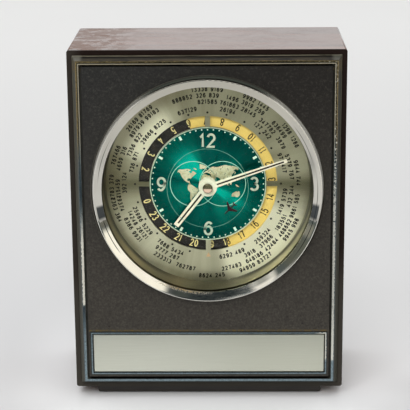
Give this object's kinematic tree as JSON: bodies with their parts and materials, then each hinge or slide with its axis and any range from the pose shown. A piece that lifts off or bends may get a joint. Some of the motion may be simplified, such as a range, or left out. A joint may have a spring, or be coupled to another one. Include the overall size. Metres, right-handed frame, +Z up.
{
  "type": "world time clock",
  "caption": "Box-cased table clock with hour and minute hands, a clear seconds disc and a 24 hour day and night ring behind arc windows.",
  "frame": {"origin": "under the middle of the whole clock, at the bottom of the rubber pads", "axes": "+Z up, the dial faces -Y, +X to the right of a viewer who faces the dial"},
  "size_m": [0.114, 0.0678, 0.15],
  "materials": {
    "case_wood": "rosewood grain, gloss lacquer",
    "frame_plastic": "dark olive, satin gloss",
    "bright_trim": "polished",
    "panel_texture": "fine grained matt",
    "brushed_plate": "brushed, bare",
    "bezel_chrome": "polished",
    "black_rubber": "matt",
    "clear_glass": "clear",
    "reflector": "satin champagne",
    "dial_silver": "champagne sunray",
    "dial_green": "green sunray lacquer",
    "ring_print": "printed day and night halves",
    "moulding": "black moulded",
    "steel": "plated",
    "brass": "machined",
    "hand_white": "cream enamel",
    "white_nylon": "moulded",
    "clear_acrylic": "clear",
    "aeroplane_red": "dark red print",
    "polished_cap": "polished",
    "copper": "wound",
    "board_green": "laminate",
    "battery_wrap": "plain wrap",
    "cover_plastic": "fine grained",
    "knob_plastic": "ridged",
    "plinth_plastic": "satin black"
  },
  "bodies": {
    "root": {"case_shell": "case_wood", "front_frame": "frame_plastic", "frame_trim": "bright_trim", "front_panel": "panel_texture", "plate_trim": "bright_trim", "front_plate": "brushed_plate", "bezel": "bezel_chrome", "crystal_gasket": "black_rubber", "crystal": "clear_glass", "reflector_ring": "reflector", "dial_plate": "dial_silver", "centre_dial": "dial_green", "dial_carrier": "moulding", "carrier_screws": "steel", "movement_plate": "moulding", "train_bridge": "moulding", "stator": "steel", "coil": "copper", "movement_case": "moulding", "movement_screws": "steel", "circuit_board": "board_green", "quartz_can": "steel", "battery_box": "moulding", "battery": "battery_wrap", "positive_contact": "steel", "negative_contact": "steel", "back_cover": "cover_plastic", "back_screws": "steel", "base_plinth": "plinth_plastic", "rubber_feet": "black_rubber", "plinth_screws": "steel"},
    "minute_hand": {"cannon_pinion": "brass", "minute_hand": "hand_white"},
    "hour_hand": {"hour_wheel": "brass", "hour_hand": "hand_white"},
    "minute_wheel": {"minute_wheel": "brass"},
    "idler_wheel": {"idler_wheel": "brass"},
    "day_night_ring": {"day_night_ring": "ring_print"},
    "setting_knob": {"setting_arbor": "steel", "setting_knob": "knob_plastic"},
    "seconds": {"seconds_arbor": "brass", "seconds_disc": "clear_acrylic", "aeroplane": "aeroplane_red", "seconds_cap": "polished_cap"},
    "third_wheel": {"third_wheel": "brass"},
    "centre_wheel": {"centre_wheel": "brass"},
    "fifth_wheel": {"fifth_wheel": "white_nylon"},
    "rotor": {"rotor": "steel"},
    "battery_door": {"battery_door": "cover_plastic"}
  },
  "joints": [
    {"name": "minute_hand_turn", "type": "hinge", "parent": "root", "child": "minute_hand", "pos_m": [0, -0.0266, 0.0919], "axis": [0, 1, 0], "continuous": true},
    {"name": "hour_hand_turn", "type": "hinge", "parent": "root", "child": "hour_hand", "pos_m": [0, -0.0266, 0.0919], "axis": [0, 1, 0], "continuous": true},
    {"name": "minute_wheel_turn", "type": "hinge", "parent": "root", "child": "minute_wheel", "pos_m": [-0.00884, -0.0266, 0.08306], "axis": [0, 1, 0], "continuous": true},
    {"name": "idler_wheel_turn", "type": "hinge", "parent": "root", "child": "idler_wheel", "pos_m": [0.01061, -0.0266, 0.10251], "axis": [0, 1, 0], "continuous": true},
    {"name": "day_night_ring_turn", "type": "hinge", "parent": "root", "child": "day_night_ring", "pos_m": [0, -0.0266, 0.0919], "axis": [0, 1, 0], "continuous": true},
    {"name": "setting_knob_turn", "type": "hinge", "parent": "root", "child": "setting_knob", "pos_m": [0, -0.0266, 0.07422], "axis": [0, 1, 0], "continuous": true},
    {"name": "seconds_disc_turn", "type": "hinge", "parent": "root", "child": "seconds", "pos_m": [0, -0.0266, 0.0919], "axis": [0, 1, 0], "continuous": true},
    {"name": "third_wheel_turn", "type": "hinge", "parent": "root", "child": "third_wheel", "pos_m": [0, -0.0266, 0.10414], "axis": [0, 1, 0], "continuous": true},
    {"name": "centre_wheel_turn", "type": "hinge", "parent": "root", "child": "centre_wheel", "pos_m": [0, -0.0266, 0.0919], "axis": [0, 1, 0], "continuous": true},
    {"name": "fifth_wheel_turn", "type": "hinge", "parent": "root", "child": "fifth_wheel", "pos_m": [-0.009, -0.0266, 0.0919], "axis": [0, 1, 0], "continuous": true},
    {"name": "rotor_turn", "type": "hinge", "parent": "root", "child": "rotor", "pos_m": [-0.0174, -0.0266, 0.0919], "axis": [0, 1, 0], "continuous": true},
    {"name": "battery_door_pull", "type": "slide", "parent": "root", "child": "battery_door", "axis": [0, 1, 0], "range_m": [0, 0.03]}
  ],
  "couplings": [
    {"joint": "hour_hand_turn", "follows": "minute_hand_turn", "ratio": 0.083333},
    {"joint": "minute_wheel_turn", "follows": "minute_hand_turn", "ratio": -0.33333},
    {"joint": "idler_wheel_turn", "follows": "minute_hand_turn", "ratio": -0.16667},
    {"joint": "day_night_ring_turn", "follows": "minute_hand_turn", "ratio": -0.041667},
    {"joint": "setting_knob_turn", "follows": "minute_hand_turn", "ratio": 1},
    {"joint": "third_wheel_turn", "follows": "seconds_disc_turn", "ratio": -0.13333},
    {"joint": "centre_wheel_turn", "follows": "seconds_disc_turn", "ratio": 0.016667},
    {"joint": "fifth_wheel_turn", "follows": "seconds_disc_turn", "ratio": -5},
    {"joint": "rotor_turn", "follows": "seconds_disc_turn", "ratio": 30}
  ]
}
